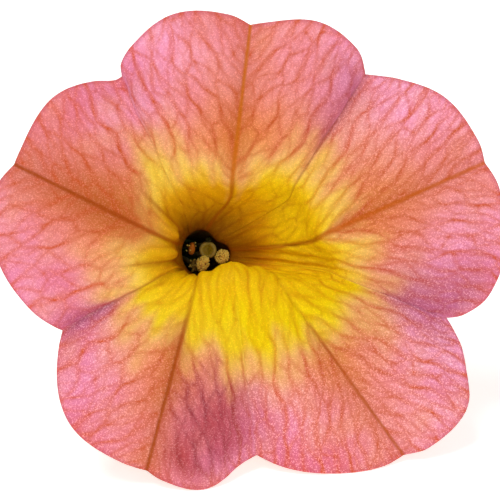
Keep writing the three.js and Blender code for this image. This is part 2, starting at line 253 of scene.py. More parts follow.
def loops_shell(loops, ring=False, **fields):
    """Rows of closed loops joined into one shell of quads: each row to the next, and the last
    back to the first where the rows form a ring, or else both ends filled by a fan round their
    middle. A shell is its points, its faces by their number of corners, and fields of values."""
    rows, around = loops.shape[:2]
    points = loops.reshape(-1, 3)
    row, column = np.meshgrid(np.arange(rows if ring else rows - 1), np.arange(around), indexing="ij")
    beside, following = (column + 1) % around, (row + 1) % rows
    quads = np.stack([row * around + column, row * around + beside,
                      following * around + beside, following * around + column], axis=-1)
    faces = [quads.reshape(-1, 4)]
    fields = {key: np.asarray(values, float).reshape(rows * around, -1)
              for key, values in fields.items()}
    if not ring:
        loop = np.arange(around)
        ahead, last = (loop + 1) % around, (rows - 1) * around
        middle = np.full(around, len(points))
        faces.append(np.stack([ahead, loop, middle], axis=-1))
        faces.append(np.stack([last + loop, last + ahead, middle + 1], axis=-1))
        points = np.concatenate([points, [loops[0].mean(axis=0), loops[-1].mean(axis=0)]])
        fields = {key: np.concatenate([values, values[:1], values[-1:]])
                  for key, values in fields.items()}
    return points, faces, fields


def make_piece(name, shells, material, node_name):
    """Lays shells where the bloom lies and makes them one piece that stands for a node. What
    would lie below the surface is pressed flat on it."""
    placed = to_rest(np.concatenate([points for points, _, _ in shells]))
    placed[:, 2] = np.maximum(placed[:, 2], 0)
    starts = np.cumsum([0] + [len(points) for points, _, _ in shells])
    faces = [face for start, (_, groups, _) in zip(starts, shells)
             for group in groups for face in (group + start).tolist()]
    mesh = bpy.data.meshes.new(name)
    mesh.from_pydata(placed.tolist(), [], faces)
    for key in shells[0][2]:
        values = np.concatenate([fields[key] for _, _, fields in shells]).astype(np.float32)
        kind, part = {1: ("FLOAT", "value"), 3: ("FLOAT_VECTOR", "vector"),
                      4: ("FLOAT_COLOR", "color")}[values.shape[1]]
        mesh.attributes.new(key, kind, "POINT").data.foreach_set(part, values.ravel())
    mesh.shade_smooth()
    mesh.materials.append(material)
    piece = bpy.data.objects.new(name, mesh)
    bpy.context.scene.collection.objects.link(piece)
    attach(piece, "root")
    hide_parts(node_name)
    return piece


def linear(code):
    """An sRGB hex colour as linear red, green and blue, with full alpha."""
    parts = np.array([int(code[i:i + 2], 16) for i in (1, 3, 5)]) / 255
    parts = np.where(parts <= 0.04045, parts / 12.92, ((parts + 0.055) / 1.055) ** 2.4)
    return (*parts, 1.0)


def node(tree, kind, inputs=None, **settings):
    """Adds a node with its settings. inputs gives each socket a value or another's output."""
    made = tree.nodes.new(kind)
    for key, value in settings.items():
        setattr(made, key, value)
    for key, value in (inputs or {}).items():
        if isinstance(value, bpy.types.NodeSocket):
            tree.links.new(value, made.inputs[key])
        else:
            made.inputs[key].default_value = value
    return made


def new_material(name):
    """A material with an empty node tree, and that tree."""
    material = bpy.data.materials.new(name)
    material.use_nodes = True
    material.node_tree.nodes.clear()
    return material, material.node_tree


def drift(points, size, seed):
    """Soft random patches of about the given size, from minus one to one: the mean of waves
    that run in random directions."""
    draw = np.random.default_rng(seed)
    total = np.zeros(points.shape[:-1])
    count = 14
    for _ in range(count):
        direction = draw.normal(size=3)
        direction *= 2 * np.pi / (size * 2 * draw.uniform(0.7, 1.5) * np.linalg.norm(direction))
        total += np.sin(points @ direction + draw.uniform(0, 2 * np.pi))
    return total / np.sqrt(count)


def blend_colours(first, second, share):
    """Two colours, or fields of colour, mixed by a field of shares."""
    share = share[..., None]
    return np.asarray(first) * (1 - share) + np.asarray(second) * share


def limb_share(face, along):
    """Nought where the throat meets the tube and one at the rim, over the whole grid."""
    share = np.clip((along - THROAT_STATION) / (RIM_STATION - THROAT_STATION), 0, 1)
    return np.broadcast_to(share[:, None], face.shape[:2])


# Veins run out of the throat, a few to each half lobe, and others leave the midrib at an acute
# angle. Their course is a level line of one number, the vein number.
VEIN_PITCH = 1.1
VEIN_TURN = np.radians(27)
HALF_LOBE_TURN = np.radians(29)
THROAT_VEINS = 1.9
THROAT_REACH = 3.5
VEIN_PHASES = [0.0, 0.45, 0.2, 0.7, 0.1, 0.6, 0.3, 0.8, 0.15, 0.55]


def vein_fields(face, places, along):
    """The vein number, the run along the veins in millimetres, and the distance between one
    whole number and the next. Out on the limb a point's way from the throat, r, meets the veins
    at an angle t that falls from the midrib to the cleft: the number is r sin t over the pitch,
    and the run is r cos t. In the throat the number is only the turn round it."""
    limb = limb_share(face, along)
    from_rib = 1 - from_cleft(places)[None, :]
    throat = petal_face(places, np.array([THROAT_STATION]))
    way = THROAT_REACH + np.linalg.norm((face - throat)[..., :2], axis=-1)
    sweep = VEIN_TURN - HALF_LOBE_TURN * from_rib
    spread = smooth_step(0.1, 0.5, limb)
    number = spread * way * np.sin(sweep) / VEIN_PITCH
    number = number + (1 - spread) * THROAT_VEINS * (0.85 - from_rib)
    number = number + 0.2 * drift(face, 2.6, 5) * np.minimum(1, 3 * limb)
    number = number + by_half(VEIN_PHASES, places)
    run = spread * (THROAT_STATION + way * np.cos(sweep)) + (1 - spread) * along[:, None]

    by_row = np.gradient(face, axis=0)
    by_column = (np.roll(face, -1, axis=1) - np.roll(face, 1, axis=1)) / 2
    slope_row = np.gradient(number, axis=0)
    step = np.roll(number, -1, axis=1) - number
    slope_column = np.where(np.abs(step) < 0.4, step, 0)
    rr, cc = (by_row**2).sum(-1), (by_column**2).sum(-1)
    rc = (by_row * by_column).sum(-1)
    area = np.maximum(rr * cc - rc**2, 1e-12)
    slope = np.sqrt((cc * slope_row**2 - 2 * rc * slope_row * slope_column
                     + rr * slope_column**2) / area)
    spacing = 1 / np.maximum(slope, 0.15)
    return number, run, spacing


def rib_distance(face, places, along):
    """How far each point lies from its lobe's midrib, in millimetres."""
    lobes = 1 + 2 * np.floor((places % 10) / 2)
    return np.linalg.norm(face - petal_face(lobes, along), axis=-1)


# How far the yellow of the throat reaches, in millimetres from its middle, at each line and
# half-way to the next one.
YELLOW_REACH = [11.3, 11.0, 9.6, 10.0, 9.4, 7.8, 5.2, 6.4, 6.8, 5.6,
                3.8, 5.8, 5.6, 6.4, 6.0, 6.8, 7.8, 9.0, 9.6, 10.8]
# For each half lobe: how far past the yellow's reach, in millimetres, the salmon ends; how deep
# the rose is, how much mauve the margin takes, and how far that spreads, as a share of the half;
# and how far, in millimetres, coral and ember spread from the midrib. The margins' mauve is partly
# the petal's own colour and partly painted shade in the folds at the clefts. One half is deeper
# rose, partly its own pigment and partly painted shade where it curves away from the light.
SALMON_END = [5.0, 7.5, 5.0, 5.0, 4.5, 4.0, 5.0, 5.0, 5.0, 5.0]
ROSE_DEPTH = [0.3, 0.0, 0.15, 0.15, 0.65, 0.6, 0.75, 0.6, 0.75, 0.35]
MARGIN_MAUVE = [0.9, 0.25, 0.8, 0.25, 0.1, 0.85, 0.85, 0.3, 0.35, 0.75]
MAUVE_WIDTH = [0.42, 0.2, 0.3, 0.2, 0.14, 0.11, 0.12, 0.2, 0.2, 0.24]
CORAL_WIDTH = [3.4, 4.4, 5.8, 4.5, 4.9, 4.4, 3.4, 3.4, 3.4, 3.4]
EMBER_WIDTH = [0.5, 1.2, 0.9, 0.9, 2.4, 1.6, 0.9, 0.9, 0.9, 0.9]
DEEP_AND_SHADED_HALF = 7
# For each lobe: how bright the painted glint of its cells is in the pink, how much paler its
# yellow is beside the peach, how deep the ember is, the midrib's half width in millimetres, out to
# its soft edge, its colour in the pink, and how plain it is in the yellow and in the pink.
PAINTED_GLINTING = [0.8, 0.5, 0.55, 0.95, 1.15]
PALE_EDGE = [0.7, 0.75, 0.6, 0.1, 0.0]
# The left lobe's ember is deeper and spreads further than the others': partly its own pigment and partly
# painted shade beside its midrib.
RIB_EMBER = [0.65, 0.65, 1.2, 1.0, 0.45]
RIB_WIDTH = [0.24, 0.21, 0.2, 0.19, 0.18]
RIB_COLOURS = ["#c05a08", "#c2660c", "#a04204", "#a24608", "#b2521a"]
RIB_IN_YELLOW = [0.75, 0.75, 0.75, 0.45, 0.25]
RIB_IN_PINK = [0.78, 0.85, 0.85, 0.85, 0.8]
# How dark the painted shade along the seam is where two lobes' margins meet, counted from the cleft below
# the right lobe.
SEAM_SHADE_DEPTH = [0.1, 0.4, 0.15, 0.35, 0.05]
# How far the amber climbs the throat's wall at each line, as a share of the way to the rim. The
# amber, and the gold that leads from it up to the yellow, are partly the throat's own deeper colour
# and mostly painted shade, deepest where the wall falls into the tube and reaching furthest up the
# upper wall, which faces away from the light.
AMBER_SHADE_REACH = [0.18, 0.2, 0.21, 0.38, 0.5, 0.3, 0.2, 0.13, 0.13, 0.15]
# Gold and amber on the throat's wall are mostly painted shade.
YELLOW, GOLD, AMBER_SHADE = linear("#e6bc04"), linear("#da9c00"), linear("#7e4606")
BRIGHT_YELLOW = linear("#e6ce00")
LEMON, PEACH, SALMON = linear("#ecc45c"), linear("#e2a668"), linear("#e69a86")
# Deep rose, mauve and the shaded veins' colour are partly the petal's own pigment and partly painted shade;
# the seam's colour is painted shade.
PINK, ROSE, DEEP_ROSE_AND_SHADE = linear("#f09ec2"), linear("#d66a84"), linear("#b03c50")
MAUVE, DEEP_AND_SHADED_VEIN, SEAM_SHADE = linear("#a84a74"), linear("#92303a"), linear("#86421e")
CORAL, DEEP_CORAL, RED_VEIN = linear("#da7c2e"), linear("#ac5014"), linear("#cc5024")
PALE_BACK, TUBE_GREEN, TUBE_INSIDE = linear("#eab29c"), linear("#dcd486"), linear("#b08a3c")
TUBE_VEIN = linear("#bc9c58")
# The crevice colour is partly the crevices' own pigment and partly painted shade.
RIM_ROSE, PAD_GOLD, CREVICE_SHADE_AND_PIGMENT = linear("#bd5264"), linear("#d0960a"), linear("#84420a")
YELLOW_RIB = linear("#a05204")
# What a vein keeps of the red, green, blue and alpha of the tissue, or of the mauve, over it.
OCHRE_IN_THROAT, OCHRE_ON_LIMB = (0.64, 0.42, 0.22, 1), (0.78, 0.56, 0.36, 1)
MAUVE_VEIN = (0.7, 0.7, 0.7, 1)
# Even yellow skin takes a little painted glint. Creases and the painted shade of seams are this wide to
# each side, in millimetres.
LEAST_PAINTED_GLINT = 0.02
CREASE_HALF_WIDTH, SEAM_SHADE_HALF_WIDTH = 0.13, 0.08


def by_lobe(values, places):
    """The value that the lobe at each place has."""
    return np.repeat(np.asarray(values, float), 2)[np.floor(places).astype(int) % 10]


# Soft pads bulge out of the sheet round the throat: the place, width, height in millimetres,
# share of the way to the rim, and run outwards of each. Three at the foot of the left lobe roll
# over the throat's edge like fingertips, three fill out its lower lip, and one narrows the
# tube's mouth at its upper right.
LEFT_PADS = [(4.7, 0.24, 0.45, 0.28, 0.17), (5.32, 0.24, 0.5, 0.28, 0.19),
             (5.88, 0.2, 0.35, 0.3, 0.14)]
PADS = [*LEFT_PADS, (7.2, 0.3, 0.3, 0.25, 0.1), (7.95, 0.3, 0.35, 0.25, 0.1),
        (8.7, 0.3, 0.25, 0.24, 0.1), (2.2, 0.8, 0.6, 0.03, 0.07)]
PAD_RUN_INWARDS = 0.07
# The places of the thin brown creases that run out beside the left lobe's pads.
CREASES = [4.48, 5.6]


def pad_bulge(pad, places, along):
    """How much of a pad stands at each point: one at its middle, and a bell curve both ways.
    Round the bloom it is as wide as the pad, outwards it has the pad's run, and inwards it is
    steep on every pad."""
    middle, width, _, share, run = pad
    out = (along[:, None] - THROAT_STATION) / (RIM_STATION - THROAT_STATION) - share
    run = np.where(out > 0, run, PAD_RUN_INWARDS)
    return np.exp(-((places - middle) / width) ** 2 - (out / run) ** 2)


def past_yellow(face, places):
    """How far each point lies past the yellow's reach, in millimetres, with streaks that run out
    along the veins and soft patches."""
    distance = np.linalg.norm(face[..., :2], axis=-1)
    reach = round_ring(YELLOW_REACH, places * 2)
    round_way = np.broadcast_to(places * 7, distance.shape)
    drawn_out = np.stack([round_way, 0.15 * face[..., 0], 0.15 * face[..., 1]], axis=-1)
    return distance - reach + 0.55 * drift(drawn_out, 0.9, 11) + 0.45 * drift(face, 1.1, 12)


def pink_skin(face, places, limb, past, deep_and_shaded, mauve, coral):
    """The skin where it is pink: rose in patches, salmon next to the yellow, and deep rose in one
    half, partly its own pigment and partly painted shade; mauve beside the clefts, partly its own
    colour and partly painted shade in the folds; coral beside the midribs and a deeper rose on the rim."""
    rose = np.clip(by_half(ROSE_DEPTH, places) + 0.22 * drift(face, 2.6, 13), 0, 1)
    pink = blend_colours(PINK, ROSE, rose)
    pink = blend_colours(pink, SALMON, np.clip(0.15 + 0.2 * drift(face, 1.2, 16), 0, 1))
    pink = blend_colours(SALMON, pink, smooth_step(1.2, by_half(SALMON_END, places), past))
    deep = np.clip(0.84 * deep_and_shaded * (1 + 0.2 * drift(face, 1.5, 15)), 0, 1)
    pink = blend_colours(pink, DEEP_ROSE_AND_SHADE, deep)
    pink = blend_colours(pink, MAUVE, 0.85 * mauve)
    pink = blend_colours(pink, CORAL, 0.9 * coral)
    return blend_colours(pink, RIM_ROSE, 0.6 * smooth_step(0.975, 1.0, limb))


def yellow_skin(face, places, along, limb, past):
    """The skin where it is yellow: bright on the throat's crest, gold and then amber down its wall,
    which is mostly painted shade, dull in the tube, and paler next to the peach on some lobes."""
    amber_shade_reach = round_ring(AMBER_SHADE_REACH, places)
    gold = blend_colours(AMBER_SHADE, GOLD, smooth_step(-0.04, amber_shade_reach, limb))
    depth = np.broadcast_to((THROAT_STATION - along)[:, None], limb.shape)
    gold = blend_colours(gold, TUBE_INSIDE, smooth_step(0.0, 2.5, depth))
    wavering = limb + 0.03 * drift(face, 2.0, 14)
    yellow = blend_colours(gold, YELLOW, smooth_step(0.7 * amber_shade_reach, 0.08 + amber_shade_reach, wavering))
    yellow = blend_colours(yellow, BRIGHT_YELLOW, 0.7 * smooth_step(0.36, 0.52, limb))
    pale = by_lobe(PALE_EDGE, places) * smooth_step(-5.0, -0.8, past) * smooth_step(0.36, 0.48, limb)
    return blend_colours(yellow, LEMON, pale)


def fold_marks(tissue, face, places, along, limb):
    """The marks of the folds: gold pads with brown crevices between them at the left lobe's foot,
    the crevices partly their own pigment and partly painted shade; brown creases that run out from
    there; and dark painted shade along the seams where the lobes' margins meet."""
    foot = smooth_step(4.2, 4.6, places) * (1 - smooth_step(5.9, 6.3, places))
    foot = foot * smooth_step(0.1, 0.18, limb)
    on_pads = np.clip(1.3 * sum(pad_bulge(pad, places, along) for pad in LEFT_PADS), 0, 1)
    # The crevices between the pads are brown, partly their own pigment and partly painted shade.
    crevice_shade_and_pigment = 0.7 * foot * (1 - on_pads) * (1 - smooth_step(0.34, 0.46, limb))
    tissue = blend_colours(tissue, CREVICE_SHADE_AND_PIGMENT, crevice_shade_and_pigment)
    tissue = blend_colours(tissue, PAD_GOLD, 0.8 * foot * on_pads * (1 - smooth_step(0.34, 0.5, limb)))
    shown = smooth_step(0.15, 0.24, limb) * (1 - smooth_step(0.36, 0.62, limb))
    for crease in CREASES:
        run = petal_face(np.full(len(places), crease), along)
        line = bell(np.linalg.norm(face - run, axis=-1), CREASE_HALF_WIDTH)
        tissue = blend_colours(tissue, YELLOW_RIB, 0.7 * shown * line)
    clefts = 2 * np.floor((places % 10 + 1) / 2)
    run = petal_face(clefts, along)
    # A thin line of painted shade along the seam where two lobes' margins meet.
    seam_shade = bell(np.linalg.norm(face - run, axis=-1), SEAM_SHADE_HALF_WIDTH)
    seam_shade = seam_shade * np.repeat(SEAM_SHADE_DEPTH, 2)[np.floor(places + 1).astype(int) % 10]
    seam_shade = seam_shade * smooth_step(0.25, 0.4, limb) * (1 - smooth_step(0.8, 0.98, limb))
    return blend_colours(tissue, SEAM_SHADE, seam_shade)


def petal_colours(face, places, along):
    """The tissue's colour, with how much painted glint its cells take as its alpha; its veins'
    colour; and the midribs' colour, with how plain they are as its alpha. Yellow gives way to pink
    through peach, with ember along the midribs. Veins are ochre in the yellow and red in the pink,
    unless coral, mauve or the deep rose and painted shade of one half lie over them."""
    limb = limb_share(face, along)
    cleft = np.broadcast_to(from_cleft(places), limb.shape)
    rib = rib_distance(face, places, along)
    past = past_yellow(face, places)
    # One half is painted a deeper rose with darker veins: partly its own pigment and partly painted shade
    # where it curves away from the light.
    deep_and_shaded = (np.floor(places) % 10 == DEEP_AND_SHADED_HALF) * np.exp(-((cleft - 0.5) / 0.45) ** 4)
    deep_and_shaded = deep_and_shaded * smooth_step(0.45, 0.75, limb) * (1 - 0.7 * smooth_step(0.9, 1.0, limb))
    # Mauve beside the clefts: partly the petal's own colour and partly painted shade in the folds where the
    # margins lap.
    mauve = bell(cleft, by_half(MAUVE_WIDTH, places)) * by_half(MARGIN_MAUVE, places)
    mauve = mauve * smooth_step(0.42, 0.7, limb) * (1 - 0.5 * smooth_step(0.9, 1.0, limb))
    coral = bell(rib, by_half(CORAL_WIDTH, places))
    coral = coral * (1 - 0.5 * smooth_step(0.5, 1.0, limb)) * (1 - 0.6 * deep_and_shaded)
    beyond = smooth_step(-2.0, 1.0, past)
    ember = bell(rib, by_half(EMBER_WIDTH, places)) * by_lobe(RIB_EMBER, places)
    ember = ember * beyond * smooth_step(0.3, 0.5, limb) * (1 - 0.5 * smooth_step(0.55, 1.0, limb))

    pink = pink_skin(face, places, limb, past, deep_and_shaded, mauve, coral)
    yellow = yellow_skin(face, places, along, limb, past)
    peach = blend_colours(yellow, PEACH, 0.9 * smooth_step(-1.5, 0.8, past))
    tissue = blend_colours(peach, pink, smooth_step(0.0, 2.6, past))
    tissue = blend_colours(tissue, DEEP_CORAL, 0.7 * ember)
    tissue = fold_marks(tissue, face, places, along, limb)
    # The tissue's alpha is the painted glint: how much highlight its cells take.
    painted_glinting = smooth_step(-1.0, 3.0, past) * smooth_step(0.35, 0.5, limb) * by_lobe(PAINTED_GLINTING, places)
    tissue[..., 3] = np.maximum(painted_glinting * (1 - 0.5 * coral) * (1 - 0.5 * deep_and_shaded), LEAST_PAINTED_GLINT)

    in_pink = smooth_step(-0.8, 2.4, past)
    ochre = tissue * blend_colours(OCHRE_IN_THROAT, OCHRE_ON_LIMB, smooth_step(0.25, 0.45, limb))
    veins = blend_colours(ochre, RED_VEIN, in_pink)
    veins = blend_colours(veins, DEEP_CORAL, 0.6 * coral * in_pink)
    veins = blend_colours(veins, MAUVE * np.array(MAUVE_VEIN), 0.6 * mauve * in_pink)
    veins = blend_colours(veins, DEEP_AND_SHADED_VEIN, deep_and_shaded * in_pink)

    rib_colours = np.array([linear(code) for code in RIB_COLOURS])
    rib_line = blend_colours(YELLOW_RIB, rib_colours[np.floor(places / 2).astype(int) % 5], beyond)
    plain_yellow, plain_pink = by_lobe(RIB_IN_YELLOW, places), by_lobe(RIB_IN_PINK, places)
    rib_line[..., 3] = plain_yellow * (1 - beyond) + plain_pink * beyond
    return tissue, veins, rib_line


def wall_thickness(along):
    """The petal's wall: stoutest in the tube, and thinning to its rim."""
    return np.interp(along, [0, THROAT_STATION, CREST_STATION, RIM_STATION - 1, RIM_STATION],
                     [0.45, 0.4, 0.34, 0.22, 0.12])


def petal_side(places, along, under):
    """One face of the petals. Between the veins the sheet bulges up a little, over the midrib it
    sinks in a groove, and towards the rim it ruffles. The under face lies one wall behind, with
    the midrib and the main veins standing out of it."""
    face = petal_face(places, along)
    number, run, spacing = vein_fields(face, places, along)
    rib = rib_distance(face, places, along)
    limb = limb_share(face, along)
    quilted = smooth_step(0.25, 0.5, limb) * (1 - 0.5 * smooth_step(0.9, 1, limb))
    lift = 0.12 * drift(face, 2.2, 3) * smooth_step(0.35, 1.0, limb)
    lift = lift + (0.1 * drift(face, 1.3, 4) * smooth_step(0.0, 0.06, limb)
                   * (1 - smooth_step(0.1, 0.3, limb)))
    folded = smooth_step(0.03, 0.12, limb) * (1 - smooth_step(0.25, 0.35, limb))
    lift = lift - (0.02 * quilted + 0.07 * folded) * np.cos(2 * np.pi * number)
    lift = lift + sum(pad[2] * pad_bulge(pad, places, along) for pad in PADS)
    groove = bell(rib, 0.22) * (1 - 0.6 * limb) * smooth_step(0.05, 0.3, limb)
    if under:
        lift = lift - wall_thickness(along)[:, None] - 0.14 * groove
    else:
        lift = lift - 0.08 * groove
    tissue, vein_colour, rib_line = petal_colours(face, places, along)
    if under:
        tube = 1 - smooth_step(0.1, 0.5, limb)
        tissue = blend_colours(tissue, PALE_BACK, np.full(limb.shape, 0.55))
        tissue = blend_colours(tissue, TUBE_GREEN, tube)
        vein_colour = blend_colours(vein_colour, TUBE_VEIN, 0.3 + 0.6 * tube)
        rib_line = blend_colours(rib_line, (*TUBE_VEIN[:3], 0.45), 0.3 + 0.5 * tube)
    side = np.full(limb.shape, 1.0 if under else -1.0)
    in_widths = rib / (by_lobe(RIB_WIDTH, places) + 0.05 * bell(limb - 0.45, 0.15))
    return (face + lift[..., None] * petal_normal(places, along), tissue, vein_colour, rib_line,
            np.stack([number, run, spacing], axis=-1), np.stack([in_widths, limb, side], axis=-1))


def corolla_shell():
    """The whole corolla: the upper face from rim to foot, and the under face back to the rim."""
    places = column_places(PETAL_COLUMNS)
    upper = np.concatenate([np.linspace(0, THROAT_STATION, 12, endpoint=False),
                            np.linspace(THROAT_STATION, CREST_STATION, 40, endpoint=False),
                            np.linspace(CREST_STATION, RIM_STATION, 118)])
    under = np.concatenate([np.linspace(0, THROAT_STATION, 18, endpoint=False),
                            np.linspace(THROAT_STATION, CREST_STATION, 20, endpoint=False),
                            np.linspace(CREST_STATION, RIM_STATION, 62)])
    sides = [petal_side(places, upper[::-1], False), petal_side(places, under, True)]
    loops, tissue, vein_colour, rib_line, veins, ribs = [np.concatenate(pair) for pair in zip(*sides)]
    return loops_shell(loops, ring=True, tissue=tissue, vein_colour=vein_colour, rib_line=rib_line,
                       veins=veins, ribs=ribs)


def petal_material():
    """Fresh petal skin: a velvety, slightly translucent tissue of tiny domed cells, some with a
    painted glint, with a net of orange-red veins just under it."""
    material, tree = new_material("petal_velvet")
    tissue, vein_colour, rib_line, veins, ribs = [
        node(tree, "ShaderNodeAttribute", attribute_name=field).outputs
        for field in ("tissue", "vein_colour", "rib_line", "veins", "ribs")]
    number, run, spacing = node(tree, "ShaderNodeSeparateXYZ", {0: veins["Vector"]}).outputs
    in_widths, limb, side = node(tree, "ShaderNodeSeparateXYZ", {0: ribs["Vector"]}).outputs
    place = node(tree, "ShaderNodeTexCoord").outputs["Object"]

    # The veins' course wavers by about 0.1 mm every two millimetres.
    course = node(tree, "ShaderNodeCombineXYZ", {0: number, 1: run}).outputs[0]
    wander = node(tree, "ShaderNodeTexNoise", {"Vector": place, "Scale": 600.0, "Detail": 0.5})
    centred = node(tree, "ShaderNodeVectorMath", {0: wander.outputs["Color"], 1: (0.5, 0.5, 0.5)},
                   operation="SUBTRACT").outputs[0]
    course = node(tree, "ShaderNodeVectorMath", {0: centred, 1: (0.4, 0.8, 0.0), 2: course},
                  operation="MULTIPLY_ADD").outputs[0]

    # Main veins lie where the vein number is a whole one and a half, as soft lines 0.3 mm wide.
    wavering = node(tree, "ShaderNodeSeparateXYZ", {0: course}).outputs[0]
    from_whole = node(tree, "ShaderNodeMath", {0: wavering, 1: 0.5}, operation="PINGPONG").outputs[0]
    from_main = node(tree, "ShaderNodeMath", {0: 0.5, 1: from_whole}, operation="SUBTRACT").outputs[0]
    from_main = node(tree, "ShaderNodeMath", {0: from_main, 1: spacing}, operation="MULTIPLY").outputs[0]
    network = node(tree, "ShaderNodeMapRange", {0: from_main, 1: 0.0, 2: 0.3, 3: 0.36, 4: 0.0},
                   interpolation_type="SMOOTHSTEP").outputs[0]

    # Other veins join them in a net. They are the borders of cells drawn out along the veins: a
    # line 0.2 mm wide with a soft halo round cells about 1.3 mm wide and 3 mm long, and a fainter
    # one round cells half as big. The cells stand on a lattice turned by 45 degrees, so that
    # they end in points. The middle between the two nearest cells is a border. Its distance in
    # cells, over cells to the millimetre square to it, is millimetres.
    across_scale = node(tree, "ShaderNodeMath", {0: 1.0, 1: spacing}, operation="DIVIDE").outputs[0]
    scales = node(tree, "ShaderNodeCombineXYZ", {0: across_scale, 1: 1.0}).outputs[0]
    for stretch, lines in (((1.2, 0.42, 0.0), ((0.45, 0.2), (0.2, 0.28))),
                           ((2.3, 0.8, 0.0), ((0.18, 0.22),))):
        grid = node(tree, "ShaderNodeVectorMath", {0: course, 1: stretch}, operation="MULTIPLY").outputs[0]
        grid = node(tree, "ShaderNodeVectorRotate", {"Vector": grid, "Angle": np.pi / 4},
                    rotation_type="Z_AXIS").outputs[0]
        per_millimetre = node(tree, "ShaderNodeVectorMath", {0: scales, 1: stretch},
                              operation="MULTIPLY").outputs[0]
        nearest, second = [
            node(tree, "ShaderNodeTexVoronoi", {"Vector": grid, "Scale": 1.0, "Randomness": 0.7},
                 feature=rank, voronoi_dimensions="2D").outputs["Position"] for rank in ("F1", "F2")]
        between = node(tree, "ShaderNodeMix", {0: 0.5, 4: nearest, 5: second},
                       data_type="VECTOR").outputs[1]
        apart = node(tree, "ShaderNodeVectorMath", {0: second, 1: nearest}, operation="SUBTRACT").outputs[0]
        square_to = node(tree, "ShaderNodeVectorMath", {0: apart}, operation="NORMALIZE").outputs[0]
        offset = node(tree, "ShaderNodeVectorMath", {0: between, 1: grid}, operation="SUBTRACT").outputs[0]
        in_cells = node(tree, "ShaderNodeVectorMath", {0: offset, 1: square_to}, operation="DOT_PRODUCT")
        turned_back = node(tree, "ShaderNodeVectorRotate", {"Vector": square_to, "Angle": -np.pi / 4},
                           rotation_type="Z_AXIS").outputs[0]
        tightness = node(tree, "ShaderNodeVectorMath", {0: turned_back, 1: per_millimetre},
                         operation="MULTIPLY")
        tightness = node(tree, "ShaderNodeVectorMath", {0: tightness.outputs[0]}, operation="LENGTH")
        away = node(tree, "ShaderNodeMath", {0: in_cells.outputs["Value"], 1: tightness.outputs["Value"]},
                    operation="DIVIDE").outputs[0]
        for edge, weight in lines:
            border = node(tree, "ShaderNodeMapRange", {0: away, 1: 0.0, 2: edge, 3: weight, 4: 0.0},
                          interpolation_type="SMOOTHSTEP").outputs[0]
            network = node(tree, "ShaderNodeMath", {0: network, 1: border}, operation="ADD").outputs[0]

    # The net fades in streaks along the veins, and a little down the throat.
    streak = node(tree, "ShaderNodeVectorMath", {0: course, 1: (0.9, 0.12, 0.0)},
                  operation="MULTIPLY").outputs[0]
    fading = node(tree, "ShaderNodeTexNoise", {"Vector": streak, "Scale": 1.0, "Detail": 1.0})
    strength = node(tree, "ShaderNodeMapRange",
                    {0: fading.outputs["Fac"], 1: 0.3, 2: 0.7, 3: 0.7, 4: 1.0}).outputs[0]
    shown = node(tree, "ShaderNodeMapRange", {0: limb, 1: 0.2, 2: 0.45, 3: 0.85, 4: 1.0}).outputs[0]
    for factor in (strength, shown):
        network = node(tree, "ShaderNodeMath", {0: network, 1: factor}, operation="MULTIPLY").outputs[0]

    # The midrib: a soft cord 0.25 to 0.3 mm wide, and a quarter more halfway out.
    midrib = node(tree, "ShaderNodeMapRange",
                  {0: in_widths, 1: 0.15, 2: 1.15, 3: rib_line["Alpha"], 4: 0.0},
                  interpolation_type="SMOOTHSTEP").outputs[0]

    # Single cells, drawn 0.06 mm across, a little coarser than real ones, so that they show, each a
    # small dome in the bump. Where the skin is pink some of them get a painted glint, light added to
    # their colour as a highlight, less on the midrib: the tissue's alpha says how much. In the yellow
    # they differ more in colour.
    painted_glint_share = tissue["Alpha"]
    grains = node(tree, "ShaderNodeTexVoronoi", {"Vector": place, "Scale": 16000.0})
    shade = node(tree, "ShaderNodeSeparateXYZ", {0: grains.outputs["Color"]}).outputs[0]
    few = node(tree, "ShaderNodeMath", {0: shade, 1: 4.0}, operation="POWER").outputs[0]
    brightest = node(tree, "ShaderNodeMapRange", {0: painted_glint_share, 1: 0.0, 2: 0.5, 3: 1.2, 4: 1.1}).outputs[0]
    grain = node(tree, "ShaderNodeMapRange", {0: few, 1: 0.0, 2: 1.0, 3: 0.96, 4: brightest}).outputs[0]
    painted_glint = node(tree, "ShaderNodeMapRange", {0: midrib, 1: 0.0, 2: 1.0, 3: 0.22, 4: 0.0}).outputs[0]
    for factor in (painted_glint_share, few):
        painted_glint = node(tree, "ShaderNodeMath", {0: painted_glint, 1: factor}, operation="MULTIPLY").outputs[0]

    veined = node(tree, "ShaderNodeMix", {0: network, 6: tissue["Color"], 7: vein_colour["Color"]},
                  data_type="RGBA").outputs[2]
    ribbed = node(tree, "ShaderNodeMix", {0: midrib, 6: veined, 7: rib_line["Color"]},
                  data_type="RGBA").outputs[2]
    skin_colour = node(tree, "ShaderNodeVectorMath", {0: ribbed, "Scale": grain},
                       operation="SCALE").outputs[0]
    skin_colour = node(tree, "ShaderNodeVectorMath", {0: skin_colour, 1: painted_glint}, operation="ADD").outputs[0]

    sunk = node(tree, "ShaderNodeMath", {0: network, 1: side}, operation="MULTIPLY").outputs[0]
    domes = node(tree, "ShaderNodeMath", {0: grains.outputs["Distance"], 1: -0.1},
                 operation="MULTIPLY").outputs[0]
    height = node(tree, "ShaderNodeMath", {0: sunk, 1: domes}, operation="ADD").outputs[0]
    bump = node(tree, "ShaderNodeBump", {"Height": height, "Strength": 0.6, "Distance": 0.00005})
    surface = node(tree, "ShaderNodeBsdfPrincipled", {
        "Base Color": skin_colour, "Roughness": 0.55, "Specular IOR Level": 0.05,
        "Subsurface Weight": 0.25, "Subsurface Radius": (1.0, 0.45, 0.3), "Subsurface Scale": 0.0005,
        "Normal": bump.outputs[0]})
    node(tree, "ShaderNodeOutputMaterial", {0: surface.outputs[0]})
    return material


petal_velvet = petal_material()
make_piece("corolla_petals", [corolla_shell()], petal_velvet, "corolla")

